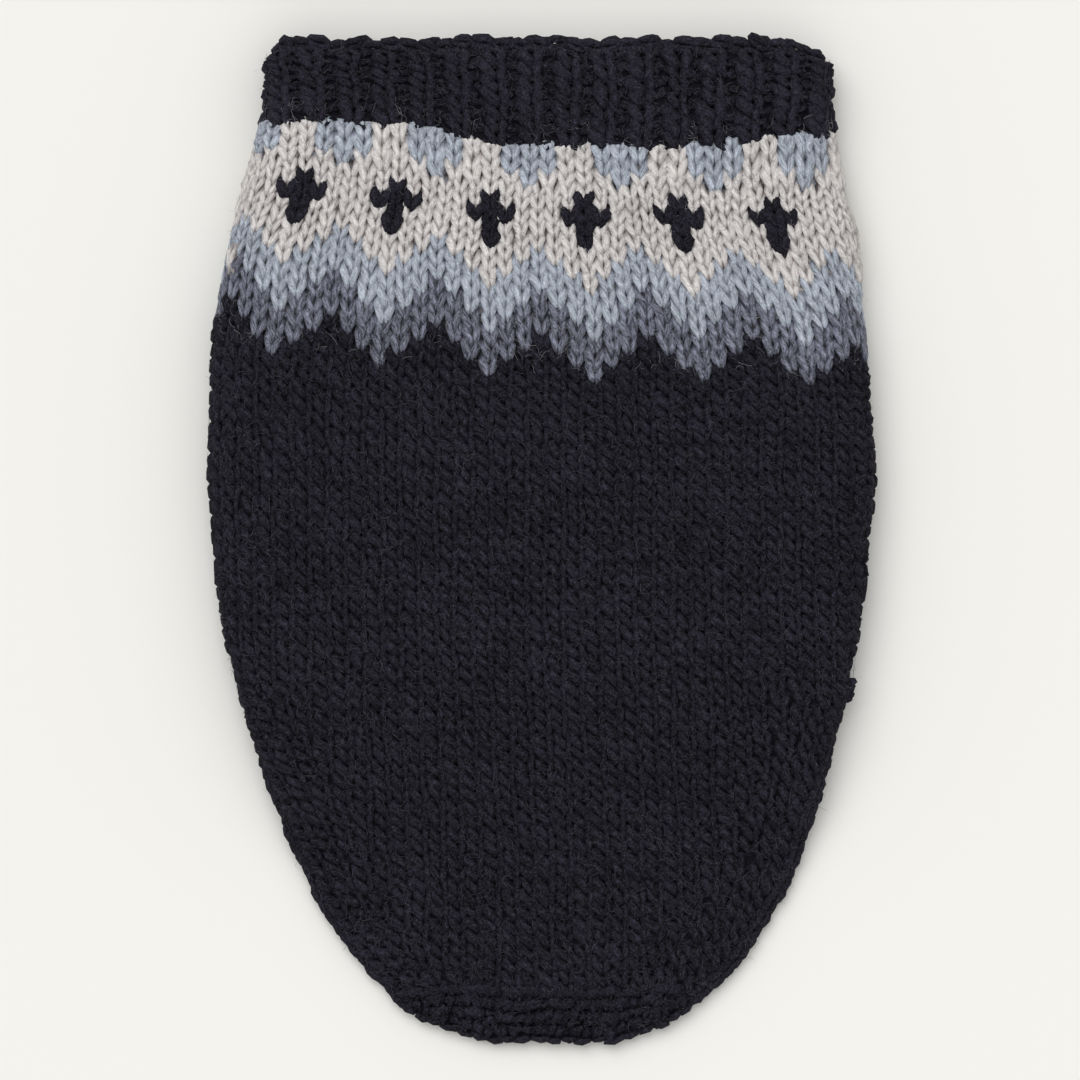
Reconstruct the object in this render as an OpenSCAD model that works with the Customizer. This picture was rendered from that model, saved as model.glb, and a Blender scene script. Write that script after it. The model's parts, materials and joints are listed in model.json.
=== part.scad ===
// A small dog's hand-knitted jumper lying flat, back upwards, collar at +Y.
// Millimetres, +Z up. The origin is on the surface it lies on, under the middle of its outline.
// The tube from collar to belly is two layers of knitting joined by rounded side folds.
// Past the belly only the back goes on, as a single free flap that drapes down to the surface.

/* [Outline] */
// Widest width of the body, laid flat
body_w = 201; // [180:1:220]
// Width of the collar, laid flat
collar_w = 171; // [150:1:178]
// Whole length from the collar's rim to the end of the tail flap
total_l = 303; // [290:1:320]
// Height of the ribbed collar
collar_h = 29; // [20:1:36]
// Height of the colourwork yoke
yoke_h = 62; // [50:1:66]

/* [Knitting] */
// Thickness of one layer of plain knitting
fabric_t = 5; // [4:0.5:6]
// Thickness of one layer of ribbing
rib_t = 6; // [5:0.5:6.5]
// Height of the two layers together, with the hollow between them
loft_h = 19; // [18:0.5:22]
// Thickness of the strands carried behind the yoke
float_t = 1; // [0.8:0.1:1.2]

/* [Underside] */
// Length of a leg opening along the body
leg_l = 44; // [36:1:48]
// Width of a leg opening
leg_w = 32; // [26:1:36]
// Distance of a leg opening's middle from the middle line
leg_x = 60; // [56:1:62]
// Where the middle of a leg opening lies along the body
leg_y = 20; // [16:1:24]
// Width of the ribbed cuff around a leg opening
cuff_w = 7; // [5:0.5:8]
// Width of the ribbed end of the belly
belly_hem_w = 12; // [8:1:16]

/* [Tail flap] */
// Where the flap starts to hang free, along the body
hinge_y = -45; // [-50:1:-40]
// Length over which the flap drapes down to the surface
drape_l = 62; // [50:1:70]
// Length of the ridged hem at the tail's end
hem_l = 14; // [10:1:18]
// Thickness of the ridged hem
hem_t = 6; // [5:0.5:6.5]
// Width of the edge stitches along each side of the flap
edge_w = 3; // [2:0.5:5]
// Free space between the fixed back and the flap's fold line
fold_gap = 5.8; // [5.8:0.1:7]

/* [Hidden] */

navy = [0.13, 0.13, 0.16];
navy_rib = [0.16, 0.16, 0.19];
cream = [0.83, 0.81, 0.78];
sky = [0.66, 0.69, 0.74];
slate = [0.42, 0.43, 0.49];

top_y = total_l / 2;
rim_h = 3;                              // the cast-off edge at the collar's rim
collar_y = top_y - collar_h;            // where the collar meets the yoke
motif_y = collar_y - yoke_h * 0.6;
sky_y = collar_y - yoke_h * 0.8;
yoke_y = collar_y - yoke_h;             // where the yoke meets the plain body
widest_y = 18;
flare_power = 1.9;                      // how the yoke widens from the collar
fold_r = loft_h / 2;                    // the side folds are half round
side_y = hinge_y + fold_gap;            // where the two layers part
arc_steps = 8;
slice = 6;                              // distance between two sections of a swept piece

// The tail end is a superellipse from the widest place to the tip.
tail_reach = widest_y + total_l / 2;
tail_n = 1.62;
tail_m = 0.37;

function tail_w(y, inset) =
    (body_w / 2 - inset) * pow(max(0, 1 - pow((widest_y - y) / (tail_reach - inset), tail_n)), tail_m);

function half_w(y) =
    y >= collar_y ? collar_w / 2 :
    y >= widest_y ? body_w / 2 - (body_w - collar_w) / 2
        * pow((y - widest_y) / (collar_y - widest_y), flare_power) :
    tail_w(y, 0);

function steps(a, b) = let (n = ceil(abs(b - a) / slice)) [for (i = [0:n]) a + (b - a) * i / n];

// Points of a flattened ring at one place, `inset` in from its outer face.
function ring(y, inset) =
    let (r = fold_r - inset, x = half_w(y) - fold_r)
    [for (side = [1, -1], i = [0:2 * arc_steps])
        let (a = -90 + 180 * i / (2 * arc_steps))
        [side * (x + r * cos(a)), y, fold_r + side * r * sin(a)]];

// A wall between an outer and an inner set of outlines, each swept along the body.
// A closed wall runs all the way round, and an open one is a strip with two long edges.
module wall_between(outer, inner, closed = true) {
    count = len(outer[0]);
    rows = len(outer);
    last = closed ? count - 1 : count - 2;
    function at(layer, row, i) = (layer * rows + row) * count + i % count;
    walls = [for (row = [0:rows - 2], i = [0:last])
        each [[at(0, row, i), at(0, row, i + 1), at(0, row + 1, i + 1), at(0, row + 1, i)],
              [at(1, row, i + 1), at(1, row, i), at(1, row + 1, i), at(1, row + 1, i + 1)]]];
    ends = [for (i = [0:last])
        each [[at(0, 0, i + 1), at(0, 0, i), at(1, 0, i), at(1, 0, i + 1)],
              [at(0, rows - 1, i), at(0, rows - 1, i + 1), at(1, rows - 1, i + 1), at(1, rows - 1, i)]]];
    edges = closed ? [] : [for (row = [0:rows - 2])
        each [[at(0, row, 0), at(0, row + 1, 0), at(1, row + 1, 0), at(1, row, 0)],
              [at(0, row + 1, count - 1), at(0, row, count - 1), at(1, row, count - 1),
               at(1, row + 1, count - 1)]]];
    polyhedron(points = [for (l = [outer, inner], r = l) each r], faces = concat(walls, ends, edges));
}

// A tube wall swept through the given places along the body.
module tube_wall(places, outer_inset, wall) {
    wall_between([for (y = places) ring(y, outer_inset)], [for (y = places) ring(y, outer_inset + wall)]);
}

// A solid swept through closed outlines that all have the same number of points.
module swept(outlines) {
    count = len(outlines[0]);
    rows = len(outlines);
    walls = [for (row = [0:rows - 2], i = [0:count - 1])
        let (j = (i + 1) % count)
        [row * count + i, row * count + j, (row + 1) * count + j, (row + 1) * count + i]];
    near = [for (i = [count - 1:-1:0]) i];
    far = [for (i = [0:count - 1]) (rows - 1) * count + i];
    polyhedron(points = [for (o = outlines) each o], faces = concat(walls, [near, far]));
}

// The plane shape of a flat layer between two places, up to where the side folds start.
module layer_shape(y_low, y_high) {
    places = steps(y_low, y_high);
    polygon(concat([for (y = places) [half_w(y) - fold_r, y]],
                   [for (i = [len(places) - 1:-1:0]) [fold_r - half_w(places[i]), places[i]]]));
}

module leg_shape(grow) {
    straight = leg_l - leg_w;
    union() {
        for (end = [-1, 1])
            translate([0, end * straight / 2]) circle(d = leg_w + 2 * grow, $fn = 48);
        square([leg_w + 2 * grow, straight], center = true);
    }
}

module collar_rib() {
    color(navy_rib) tube_wall([top_y - rim_h, top_y - collar_h / 2, collar_y], 0, rib_t);
}

module collar_cast_off_edge() {
    edge_inset = 0.8;
    color(navy_rib) tube_wall([top_y, top_y - rim_h], edge_inset, rib_t - 2 * edge_inset);
}

module yoke_motif_band() { color(cream) tube_wall(steps(collar_y, motif_y), 0, fabric_t); }

module yoke_sky_band() { color(sky) tube_wall(steps(motif_y, sky_y), 0, fabric_t); }

module yoke_slate_band() { color(slate) tube_wall(steps(sky_y, yoke_y), 0, fabric_t); }

// The strands of the colours not in use, carried along the inside of the yoke.
module yoke_floats() { color(cream) tube_wall(steps(collar_y - 1, yoke_y + 1), fabric_t, float_t); }

module back_panel() {
    color(navy) translate([0, 0, loft_h - fabric_t]) linear_extrude(fabric_t) layer_shape(side_y, yoke_y);
}

module chest_panel() {
    color(navy) linear_extrude(fabric_t) difference() {
        layer_shape(hinge_y + belly_hem_w, yoke_y);
        for (side = [-1, 1]) translate([side * leg_x, leg_y]) leg_shape(cuff_w);
    }
}

module belly_hem() {
    color(navy_rib) linear_extrude(rib_t) layer_shape(hinge_y, hinge_y + belly_hem_w);
}

module leg_cuff(side) {
    color(navy_rib) translate([side * leg_x, leg_y]) linear_extrude(rib_t) difference() {
        leg_shape(cuff_w);
        leg_shape(0);
    }
}

// One half-round side fold, with the seam that joins back and belly along its middle.
module side_seam(side) {
    function fold(y, inset) = [for (p = ring(y, inset)) if (p[0] > 0) p];
    places = steps(yoke_y, side_y);
    color(navy) mirror([side < 0 ? 1 : 0, 0, 0])
        wall_between([for (y = places) fold(y, 0)], [for (y = places) fold(y, fabric_t)], closed = false);
}

// Height of the flap's middle surface as it drapes from the back's level to the surface.
fold_z = loft_h - fabric_t / 2;
function drape_z(y, t) =
    let (s = min(1, max(0, (hinge_y - y) / drape_l)), low = t / 2)
    fold_z + (low - fold_z) * s * s * (3 - 2 * s);

// A flat strip of the flap between two sides, each a function of the place along the body.
function strip(y, left, right, t) =
    let (z = drape_z(y, t))
    [[left, y, z - t / 2], [left, y, z + t / 2], [right, y, z + t / 2], [right, y, z - t / 2]];

hem_y = hem_l - total_l / 2;            // where the plain flap meets its hem

// The round edge along which the flap folds, and the flap as far as its edges and hem.
module tail_panel() {
    fold_l = 2 * (tail_w(hinge_y, edge_w) - fold_r / 2);
    function inner(y) = tail_w(y, edge_w);
    color(navy) union() {
        translate([-fold_l / 2, hinge_y, fold_z]) rotate([0, 90, 0])
            cylinder(d = fabric_t, h = fold_l, $fn = 32);
        swept([for (y = steps(hinge_y, hem_y)) strip(y, -inner(y), inner(y), fabric_t)]);
    }
}

// The column of edge stitches down one side of the flap.
module tail_edge(side) {
    free_y = hinge_y - fabric_t;
    color(navy) mirror([side < 0 ? 1 : 0, 0, 0])
        swept([for (y = steps(free_y, hem_y)) strip(y, tail_w(y, edge_w), tail_w(y, 0), fabric_t)]);
}

// The garter-stitch hem rounds off the tail.
module tail_hem() {
    turns = 14;
    last_turn = 88;
    start_turn = asin(pow((widest_y - hem_y) / tail_reach, tail_n / 2));
    function place(a) = widest_y - tail_reach * pow(sin(a), 2 / tail_n);
    color(navy_rib) swept([for (i = [0:turns])
        let (y = place(start_turn + (last_turn - start_turn) * i / turns))
        strip(y, -tail_w(y, 0), tail_w(y, 0), hem_t)]);
}

collar_rib();
collar_cast_off_edge();
yoke_motif_band();
yoke_sky_band();
yoke_slate_band();
yoke_floats();
back_panel();
chest_panel();
belly_hem();
leg_cuff(-1);  // leg_cuff_left
leg_cuff(1);  // leg_cuff_right
side_seam(-1);  // side_seam_left
side_seam(1);  // side_seam_right
tail_panel();
tail_edge(-1);  // tail_edge_left
tail_edge(1);  // tail_edge_right
tail_hem();
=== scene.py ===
"""A small dog's hand-knitted jumper, lying flat with its back upwards."""
import json
import math

import bpy
import numpy as np
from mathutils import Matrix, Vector


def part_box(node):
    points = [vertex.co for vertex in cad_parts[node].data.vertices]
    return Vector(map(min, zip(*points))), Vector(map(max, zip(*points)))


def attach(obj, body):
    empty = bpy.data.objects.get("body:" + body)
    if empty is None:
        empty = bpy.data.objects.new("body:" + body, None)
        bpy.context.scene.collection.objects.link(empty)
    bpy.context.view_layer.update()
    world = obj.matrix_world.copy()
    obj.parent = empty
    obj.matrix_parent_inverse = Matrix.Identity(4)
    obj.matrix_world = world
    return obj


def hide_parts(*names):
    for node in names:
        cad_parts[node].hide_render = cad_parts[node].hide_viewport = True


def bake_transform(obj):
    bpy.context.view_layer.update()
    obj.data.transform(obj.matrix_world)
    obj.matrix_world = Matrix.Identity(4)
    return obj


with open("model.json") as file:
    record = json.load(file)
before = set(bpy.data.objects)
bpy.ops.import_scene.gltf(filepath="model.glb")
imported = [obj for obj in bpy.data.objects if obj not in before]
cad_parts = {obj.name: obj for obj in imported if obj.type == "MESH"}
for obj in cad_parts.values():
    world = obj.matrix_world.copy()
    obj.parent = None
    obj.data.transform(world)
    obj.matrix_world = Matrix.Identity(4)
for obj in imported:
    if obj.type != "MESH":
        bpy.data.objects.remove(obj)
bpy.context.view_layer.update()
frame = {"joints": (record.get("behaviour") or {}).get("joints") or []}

bl_info = {
    "name": "Knitted Dog Jumper",
    "version": (1, 0, 0),
    "blender": (4, 5, 0),
    "location": "3D View > Sidebar > Jumper",
    "description": "Knits a small dog's jumper stitch by stitch around its packed frame",
    "category": "Add Mesh",
}

MM = 0.001


# ---------------------------------------------------------------------------
# The garment's measures, all in millimetres, the first of them read from the imported frame
# ---------------------------------------------------------------------------

def box_mm(node):
    """A node's lowest and highest corner."""
    return [np.array(corner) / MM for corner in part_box(node)]


RIM_Y = box_mm("collar_cast_off_edge")[1][1]
EDGE_Y = box_mm("collar_rib")[1][1]  # where the cast-off edge starts
COLLAR_Y = box_mm("collar_rib")[0][1]  # where the collar meets the yoke
COLLAR_HALF = box_mm("collar_rib")[1][0]
LOFT = box_mm("collar_rib")[1][2] - box_mm("collar_rib")[0][2]
FABRIC = box_mm("back_panel")[1][2] - box_mm("back_panel")[0][2]
BODY_HALF = box_mm("side_seam_right")[1][0]
BELLY_Y = box_mm("belly_hem")[0][1]
HEM_Y = box_mm("tail_hem")[1][1]
TAIL_Y = box_mm("tail_hem")[0][1]
HINGE = frame["joints"][0]
FOLD_Y = HINGE["pos_m"][1] / MM
FOLD_R = LOFT / 2
MID_Z = LOFT / 2
CUFF_LOW, CUFF_HIGH = box_mm("leg_cuff_right")
LEG_X, LEG_Y = (CUFF_LOW[:2] + CUFF_HIGH[:2]) / 2

# The outline widens from the collar to its widest place, then rounds to the tail's end.
WIDEST_Y = 18
FLARE_POWER = 1.9
TAIL_POWER = 1.62
TAIL_ROUND = 0.37
TAIL_REACH = WIDEST_Y - TAIL_Y

# The side folds turn a quarter round down to the belly's end. Below it the flap flattens and drapes.
QUARTER = math.radians(90)
FLAP_UNCURL = math.radians(74)
UNCURLED_AFTER = 50
DRAPED_AFTER = 62
FLAP_BEND = 12  # the fabric bends this far to each side of the hinge

# How far the rows ride up or down, and where the yoke's bands lie.
SHOULDER_RISE = 9.7
RIGHT_DROP = 1.6
RIGHT_MOTIF_RISE = 1.8
COLLAR_FOOT_LEFT = 7.0
COLLAR_FOOT_RIGHT = 4.6
CORNER_DROP = 4.0
MOTIF_RISE = 1.35
BANDS_RISE = 2.0
MOTIF_Y = 92
BANDS_Y = 75
BAND_HEIGHT = 14

# How far parts of it lie to the right of the middle line, and how far the yoke has slipped to the left.
BODY_SWAY = 0.3
COLLAR_SWAY = 2.1
TAIL_SWAY = 2.4
YOKE_SLIP = 3.0

# The motif band is drawn in: its stitches are this share narrower, most at this height, fading this far.
DRAWN_IN = 0.058
DRAWN_Y = 98
DRAWN_REACH = 22

# The colourwork: one letter a stitch, rows from the collar down, one repeat a line.
# K cream, S sky, T slate, N navy. The first rows repeat over 5 stitches, the rest over 6.
TOP_CHART = ["SKKSS", "SKKSS", "SKKSS", "KKKKS"]
CHART = ["KKKKKK", "KKNKKK", "KNNNKK", "KKNKKK", "KKNKKK", "KKKKKS", "SKKKSS",
         "SSKSSS", "SSSSST", "TSSSTT", "TTSTTT", "TTTTTN", "NTTTNN", "NNTNNN"]
YOKE_ROWS = len(TOP_CHART + CHART)
CROSS_END = 12  # the rows above this hold the crosses
CHART_MIDDLE = 2  # the letter that lies on a motif's middle line
MOTIF_STITCHES = 6
MOTIF_AT = 3  # stitches from the middle line to a motif's middle
REPEATS = 13  # motifs round the whole body
ROUND_STITCHES = MOTIF_STITCHES * REPEATS
HALF_ROUND = ROUND_STITCHES // 2
STRAY_STITCH = (-18.3, 11.9, 0.62)  # a cream one by the left fold: its place round, its row and its width

# The side fold's first and last stitch from the middle line. No crosses are knitted between them.
FOLD_FROM = 17
FOLD_TO = 24
SIDE_FROM = 0.42  # the angle round the fold where the side piece starts, from the back and from the belly

# The collar's ribs, and where the knit and the purl column lie in each, as shares of its width.
RIBS = 33
RIB_PERIOD = ROUND_STITCHES / RIBS
RIB_AT = 0.34
PURL_AT = 0.86
RIB_OVER = 2.2  # the ribbing's first row pulls this far into the yoke

# The flap's edges and its hem, whose ridges are shares of the way from its top line to the outline.
EDGE_WIDTH = 4.2
LEANING = 4  # columns that lean along the flap's edge
HEM_RIDGES = (0.02, 0.32, 0.62)

# The leg openings and their cuffs.
CUFF_WIDTH = 7
CUFF_MIDDLE = 4  # from the opening's edge to the cuff's middle line
CUFF_ROWS = (1.6, 5.2)
CUFF_COLUMNS = 32
LEG_R = (CUFF_HIGH[0] - CUFF_LOW[0]) / 2 - CUFF_WIDTH
LEG_STRAIGHT = (CUFF_HIGH[1] - CUFF_LOW[1] - CUFF_HIGH[0] + CUFF_LOW[0]) / 2

# The inner faces of the stitches, and how deep the stitches themselves lie.
LINING_DEPTH = 2.3
LINING_STEP = 2.6
LINING_TOP = RIM_Y - 5.5
LEG_BOW = 0.85  # a stitch's legs bow out this far

# How uneven the knitting is, in millimetres unless it is a share or an angle.
ROW_DRIFT = 0.22
UNEVEN_SIZE = 0.07
UNEVEN_TURN = math.radians(6)
UNEVEN_PLACE = 0.22
ROUGH_YARN = 0.1
RANDOM = np.random.default_rng(7)


def smooth(t):
    """A soft step from 0 to 1."""
    t = np.clip(t, 0, 1)
    return t * t * (3 - 2 * t)


def hump(t, middle, reach):
    """A soft hump, 1 in its middle."""
    return np.exp(-((t - middle) / reach) ** 2)


class JumperKnit(bpy.types.PropertyGroup):
    stitch_width: bpy.props.FloatProperty(
        name="Stitch width", description="Width of one plain stitch in millimetres", default=5.43,
        min=4, max=7)
    row_height: bpy.props.FloatProperty(
        name="Row height", description="Height of one plain row in millimetres", default=3.96, min=3, max=6)
    yoke_row: bpy.props.FloatProperty(
        name="Yoke row height", description="Height of one colourwork row in millimetres", default=4.07,
        min=3, max=6)
    yarn: bpy.props.FloatProperty(
        name="Yarn thickness", description="Thickness of the wool in millimetres", default=2.3, min=1, max=4)
    wobble: bpy.props.FloatProperty(
        name="Hand-knitted wobble", description="How uneven the stitches are", default=1.0, min=0, max=2,
        subtype="FACTOR")
    hairs: bpy.props.IntProperty(
        name="Loose hairs", description="Loose wool hairs standing off the surface", default=11000,
        min=0, max=16000)


class JumperWool(bpy.types.PropertyGroup):
    navy: bpy.props.FloatVectorProperty(
        name="Navy", description="Main wool", default=(0.0099, 0.0092, 0.0142), min=0, max=1, subtype="COLOR")
    cream: bpy.props.FloatVectorProperty(
        name="Cream", description="Motif wool", default=(0.665, 0.642, 0.63), min=0, max=1, subtype="COLOR")
    sky: bpy.props.FloatVectorProperty(
        name="Sky", description="Upper zigzag wool", default=(0.405, 0.445, 0.51), min=0, max=1,
        subtype="COLOR")
    slate: bpy.props.FloatVectorProperty(
        name="Slate", description="Lower zigzag wool", default=(0.14, 0.147, 0.19), min=0, max=1,
        subtype="COLOR")


class JumperStudio(bpy.types.PropertyGroup):
    floor: bpy.props.FloatVectorProperty(
        name="Floor", description="Colour of the floor", default=(0.742, 0.737, 0.714), min=0, max=1,
        subtype="COLOR")
    key: bpy.props.FloatProperty(
        name="Key light", description="Strength of the soft light overhead", default=1.6, min=0, max=20)
    sky: bpy.props.FloatProperty(
        name="Room light", description="Strength of the even light all round", default=0.725, min=0, max=5)


# ---------------------------------------------------------------------------
# The garment's surface: stitches round it, millimetres along it, and depth below its outer face
# ---------------------------------------------------------------------------

def half_width(y):
    """Half the width of the outline at one place along the body."""
    y = np.asarray(y, float)
    flare = np.clip((y - WIDEST_Y) / (COLLAR_Y - WIDEST_Y), 0, 1) ** FLARE_POWER
    down = np.clip((WIDEST_Y - y) / TAIL_REACH, 0, 1)
    tail = BODY_HALF * (1 - down ** TAIL_POWER) ** TAIL_ROUND
    return np.where(y > WIDEST_Y, BODY_HALF - (BODY_HALF - COLLAR_HALF) * flare, tail)


def curl(y):
    """How far round the side fold the back goes: a quarter turn, and then less as the flap flattens."""
    return QUARTER - FLAP_UNCURL * smooth((FOLD_Y - y) / UNCURLED_AFTER)


def round_half(y):
    """Half the way round the body, along its outer face."""
    return 2 * (half_width(np.maximum(y, BELLY_Y)) - FOLD_R) + math.pi * FOLD_R


def pitch(y):
    """The width of a stitch on the back. It narrows up the yoke, and most in the motif band."""
    plain = bpy.context.scene.jumper_knit.stitch_width
    fan = round_half(y) / HALF_ROUND
    fan = fan * (1 - DRAWN_IN * hump(y, DRAWN_Y, DRAWN_REACH))
    return plain + (fan - plain) * smooth((y - 40) / 15)


def slip(y):
    """The colourwork has slipped a little to the left round the body."""
    return -YOKE_SLIP * smooth((y - 55) / 35)


def way_round(s, y):
    """The distance from the back's middle line of a point s stitches round."""
    rest = round_half(y) - pitch(y) * HALF_ROUND
    beyond = smooth((np.abs(s) - FOLD_FROM) / (HALF_ROUND - FOLD_FROM))
    return pitch(y) * s + np.sign(s) * rest * beyond + slip(y)


def stitches_to(way, y):
    """How many stitches round a distance from the back's middle line is."""
    return (way - slip(y)) / pitch(y)


def back_height(y):
    """The height of the outer face along the back and the flap."""
    return LOFT + (FABRIC - LOFT) * smooth((FOLD_Y - y) / DRAPED_AFTER)


def sway(y):
    """The collar and the tail lie a little to the right of the body's middle line."""
    return BODY_SWAY + COLLAR_SWAY * smooth((y - 40) / 60) + TAIL_SWAY * smooth((-20 - y) / 90)


def lift(x, y):
    """The rows ride up towards the left shoulder, and the collar's foot towards both."""
    left = SHOULDER_RISE * np.clip((10 - x) / 90, 0, 1.15) ** 1.3
    right = np.clip((x - 30) / 50, 0, 1.2) ** 1.5
    motif = hump(y, MOTIF_Y, BAND_HEIGHT)
    collar = smooth((y - 104) / 14)
    left = left + collar * (COLLAR_FOOT_LEFT * smooth((-6 - x) / 36) - left)
    fade = np.where(y > COLLAR_Y, smooth((RIM_Y - 2 - y) / 26), smooth((y + 35) / 110))
    sides = fade * (left + right * (-RIGHT_DROP + RIGHT_MOTIF_RISE * motif + COLLAR_FOOT_RIGHT * collar))
    corner = CORNER_DROP * smooth((np.abs(x) - COLLAR_HALF + 13) / 13) * smooth((y - EDGE_Y + 8) / 9)
    bands = BANDS_RISE * hump(y, BANDS_Y, BAND_HEIGHT)
    return sides + MOTIF_RISE * motif + bands - corner


def wander(s, y):
    """Columns and rows knitted by hand never run quite straight."""
    wobble = bpy.context.scene.jumper_knit.wobble
    across = 0.4 * np.sin(0.13 * y + 0.9 * s) * np.cos(0.05 * y - 0.35 * s)
    along = 0.4 * np.sin(0.42 * s + 0.06 * y) + 0.25 * np.sin(1.1 * s - 0.09 * y + 1)
    return wobble * across, wobble * along


def flat_half(y, flap):
    """Half the width of the flat stretch between the two side folds."""
    return half_width(y) - FOLD_R * np.sin(curl(y) if flap else QUARTER)


def edge_way(y):
    """How far round the flap's edge lies, from the middle line."""
    return flat_half(y, True) + FOLD_R * curl(y)


def body_point(s, y, depth, flap=False):
    """A point of the jumper's tube, or of the back with its flap, in millimetres."""
    a = way_round(s, y)
    far, flat = np.abs(a), flat_half(y, flap)
    angle = np.clip((far - flat) / FOLD_R, 0, curl(y) if flap else math.pi)
    x = np.minimum(far, flat) + (FOLD_R - depth) * np.sin(angle)
    if flap:
        x = x + np.maximum(far - edge_way(y), 0)
        top = back_height(y)
    else:
        under = far - flat - math.pi * FOLD_R
        x = np.where(under > 0, flat - under, x)
        top = LOFT
    z = top - FOLD_R + (FOLD_R - depth) * np.cos(angle)
    across, along = wander(s, y)
    x = np.sign(a) * x + sway(y) + across
    return np.stack([x, y + lift(x, y) + along, np.maximum(z, 0)], axis=-1)


# ---------------------------------------------------------------------------
# Loops of yarn, each modelled once
# ---------------------------------------------------------------------------

def fresh():
    """Nothing is selected before an operator acts."""
    for obj in bpy.context.selected_objects:
        obj.select_set(False)


def strand(points, thickness, sides=6):
    """A length of yarn through the given points in millimetres, drawn as a path with a round bevel."""
    fresh()
    bpy.ops.curve.primitive_nurbs_path_add()
    path = bpy.context.object
    curve = path.data
    curve.splines.clear()
    spline = curve.splines.new("POLY")
    spline.points.add(len(points) - 1)
    for point, (x, y, z, size) in zip(spline.points, points):
        point.co = (x, y, z, 1)
        point.radius = size
    curve.bevel_depth = thickness / 2
    curve.bevel_resolution = (sides - 4) // 2
    curve.use_fill_caps = True
    bpy.ops.object.convert(target="MESH")
    mesh = bpy.context.object.data
    loop = {
        "points": np.array([v.co for v in mesh.vertices]),
        "sizes": np.array([p.loop_total for p in mesh.polygons]),
        "corners": np.array([c.vertex_index for c in mesh.loops]),
        "uv": np.array([c.uv for c in mesh.uv_layers[0].data]),
    }
    # How high each point stands in its loop: the wool paints shade where it is low, between the stitches.
    high = np.abs(loop["points"][:, 2])
    loop["rise"] = high / high.max()
    bpy.ops.object.delete()
    return loop


def stitch_line(width, height, depth, neck, lean=0.0, tuck=0.0, plump=0.1, taper=0.0, tilt=0.0, steps=10):
    """The way of the yarn through one stitch: foot, leg, head, leg, foot.

    neck says how far the legs spread, lean slants them both, and tuck sinks the right leg under the left.
    plump thickens the middle of the legs, taper their upper end, and tilt brings their lower end forward.
    """
    line = []
    for i in range(steps + 1):
        t = -math.pi + 2 * math.pi * i / steps
        x = width * t / (2 * math.pi) + neck * width * math.sin(2 * t) - lean * width * math.cos(t)
        z = -depth * math.cos(2 * t) - tuck * math.sin(t) - tilt * math.cos(t)
        size = 1 - plump * math.cos(2 * t) - 0.4 * tuck * math.sin(t) + taper * math.cos(t)
        line.append((x, height * math.cos(t), z, size))
    return line


def link_line(width, height, depth, steps=10):
    """The way of the yarn round one closed link of a chain edge."""
    line = []
    for i in range(steps + 1):
        t = -math.pi + 2 * math.pi * i / steps
        line.append((width / 2 * math.sin(t), height * math.cos(t), -depth * math.cos(2 * t), 1.0))
    return line


def loops():
    """Every kind of stitch, in stitch widths across and millimetres up and out."""
    knit = bpy.context.scene.jumper_knit
    wide, yarn = knit.stitch_width, knit.yarn
    plain = stitch_line(wide, height=2.4, depth=0.68, neck=0.245, lean=0.175, tuck=0.2, plump=0.13)
    colour = stitch_line(wide, height=4.2, depth=0.75, neck=0.26, lean=0.015, tuck=0.05, plump=0.18,
                         taper=0.22, tilt=0.5)
    cross = stitch_line(wide, height=4.3, depth=1.0, neck=0.25, plump=0.6, taper=0.35, tilt=0.5)
    rib = stitch_line(wide, height=2.9, depth=0.7, neck=0.21, lean=0.12, tuck=0.25, plump=0.14)
    purl = stitch_line(wide, height=2.1, depth=-0.85, neck=0.2, plump=-0.16)
    link = link_line(wide * 0.44, height=3.0, depth=0.5)
    kinds = {
        "plain": strand(plain, yarn * 1.08),
        "colour": strand(colour, yarn * 1.06),
        "cross": strand(cross, yarn * 0.94),
        "rib": strand(rib, yarn * 1.05),
        "purl": strand(purl, yarn * 1.1),
        "link": strand(link, yarn * 0.97),
    }
    for loop in kinds.values():
        loop["points"][:, 0] /= wide
    return kinds


def grow(name, loop, place, tones):
    """A piece of one copy of the loop for each tone. place moves the copies' points to where they go."""
    count, corners = len(tones), len(loop["corners"])
    points = place(np.broadcast_to(loop["points"], (count,) + loop["points"].shape)).reshape(-1, 3)
    mesh = bpy.data.meshes.new(name)
    mesh.vertices.add(len(points))
    mesh.vertices.foreach_set("co", (points * MM).ravel())
    shift = np.arange(count)[:, None] * len(loop["points"])
    mesh.loops.add(count * corners)
    mesh.loops.foreach_set("vertex_index", (loop["corners"][None] + shift).ravel())
    sizes = np.tile(loop["sizes"], count)
    mesh.polygons.add(len(sizes))
    mesh.polygons.foreach_set("loop_start", np.concatenate([[0], np.cumsum(sizes)[:-1]]))
    mesh.polygons.foreach_set("loop_total", sizes)
    uv = np.tile(loop["uv"], (count, 1, 1)) + RANDOM.random((count, 1, 1)) * np.array([1.0, 0.0])
    mesh.uv_layers.new(name="yarn").data.foreach_set("uv", uv.ravel())
    # Each copy's lightness; for the collar's ribs it also holds their painted light and shade.
    tone = mesh.attributes.new("tone", "FLOAT", "POINT")
    tone.data.foreach_set("value", np.repeat(tones, len(loop["points"])))
    # Each point's height in its loop, for the painted shade between the stitches.
    mesh.attributes.new("rise", "FLOAT", "POINT").data.foreach_set("value", np.tile(loop["rise"], count))
    mesh.update()
    mesh.validate()
    mesh.shade_smooth()
    obj = bpy.data.objects.new(name, mesh)
    bpy.context.scene.collection.objects.link(obj)
    return obj


def uneven(*shape):
    """Random numbers spread about 0, none of them far out."""
    return RANDOM.normal(0, 1, shape).clip(-2, 2)


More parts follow.
